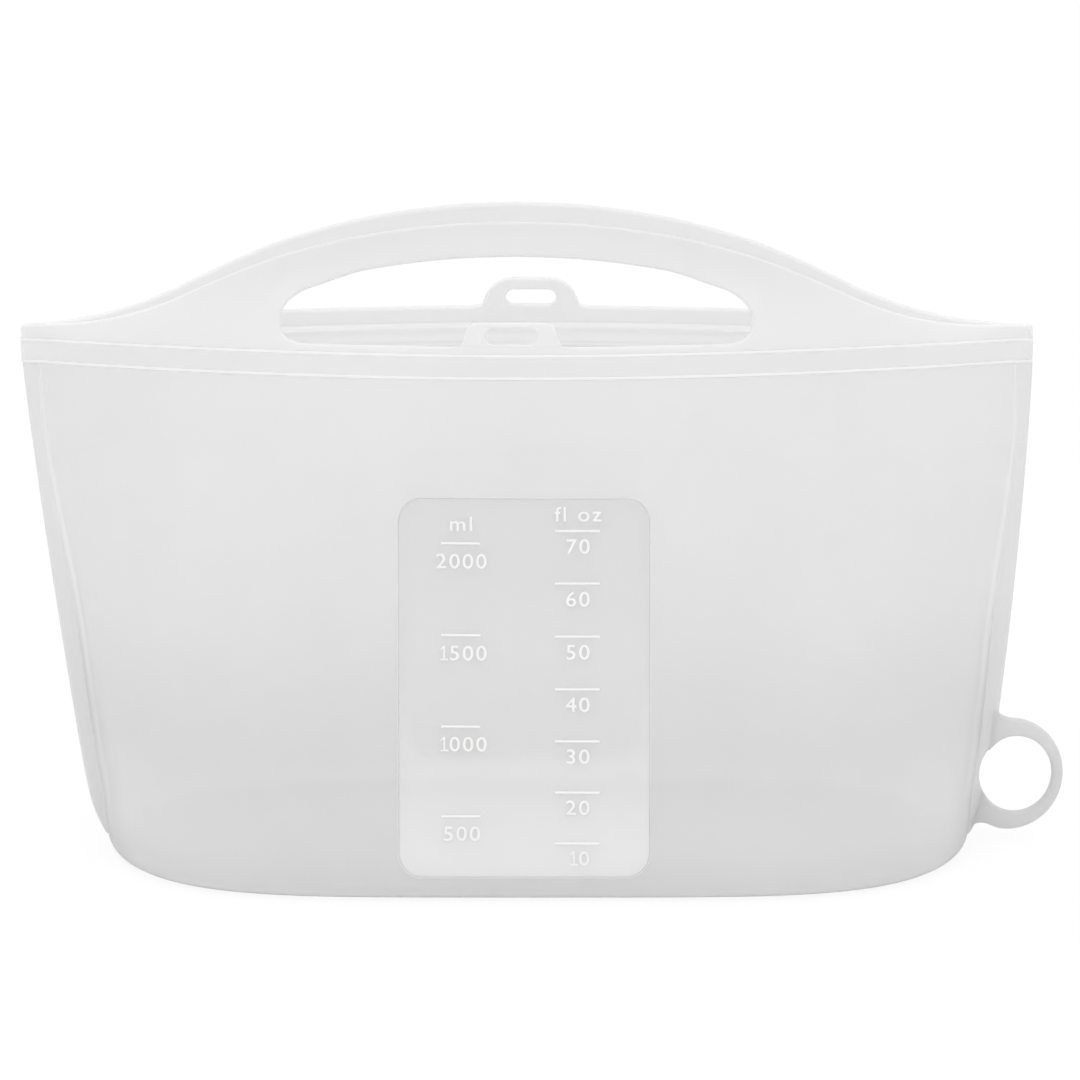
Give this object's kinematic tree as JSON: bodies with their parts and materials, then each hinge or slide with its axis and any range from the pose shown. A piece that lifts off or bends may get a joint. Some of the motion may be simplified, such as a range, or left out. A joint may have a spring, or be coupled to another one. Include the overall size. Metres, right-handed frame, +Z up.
{
  "type": "silicone storage bag",
  "caption": "Stand-up silicone storage bag with a press-together mouth, arched grip handles, pull tabs, a measuring window and a hanging ring",
  "frame": {"origin": "centre of the underside of the base", "axes": "+Z up, -Y towards the front with the measuring window, +X towards the side with the hanging ring"},
  "size_m": [0.2923, 0.095, 0.1832],
  "materials": {
    "frosted_silicone": "frosted translucent",
    "clear_silicone": "polished translucent"
  },
  "bodies": {
    "bag": {"front_wall": "frosted_silicone", "rear_wall": "frosted_silicone", "measuring_window": "clear_silicone", "rear_window": "clear_silicone", "base_panel": "frosted_silicone", "base_rim": "frosted_silicone", "left_side_seam": "frosted_silicone", "right_side_seam": "frosted_silicone", "front_zip_track": "frosted_silicone", "rear_zip_track": "frosted_silicone", "left_mouth_corner": "frosted_silicone", "right_mouth_corner": "frosted_silicone"},
    "front_handle_body": {"front_handle": "frosted_silicone"},
    "rear_handle_body": {"rear_handle": "frosted_silicone"},
    "front_tab_body": {"front_pull_tab": "frosted_silicone"},
    "rear_tab_body": {"rear_pull_tab": "frosted_silicone"},
    "ring_body": {"hanging_ring": "frosted_silicone"}
  },
  "joints": [
    {"name": "front_handle_flex", "type": "hinge", "parent": "bag", "child": "front_handle_body", "pos_m": [-0.0061, -0.0105, 0.1493], "axis": [1, 0, 0], "range_deg": [-20, 20], "stiffness_Nm_per_rad": 0.25},
    {"name": "rear_handle_flex", "type": "hinge", "parent": "bag", "child": "rear_handle_body", "pos_m": [-0.0061, 0.0105, 0.1493], "axis": [-1, 0, 0], "range_deg": [-20, 20], "stiffness_Nm_per_rad": 0.25},
    {"name": "front_tab_flex", "type": "hinge", "parent": "bag", "child": "front_tab_body", "pos_m": [-0.0073, -0.0184, 0.1501], "axis": [1, 0, 0], "range_deg": [-45, 45], "stiffness_Nm_per_rad": 0.03},
    {"name": "rear_tab_flex", "type": "hinge", "parent": "bag", "child": "rear_tab_body", "pos_m": [-0.002, 0.0184, 0.1529], "axis": [-1, 0, 0], "range_deg": [-45, 45], "stiffness_Nm_per_rad": 0.03},
    {"name": "ring_flex", "type": "hinge", "parent": "bag", "child": "ring_body", "pos_m": [0.1287, 0, 0.0199], "axis": [0.1503, 0, 0.9886], "range_deg": [-45, 45], "stiffness_Nm_per_rad": 0.06}
  ]
}
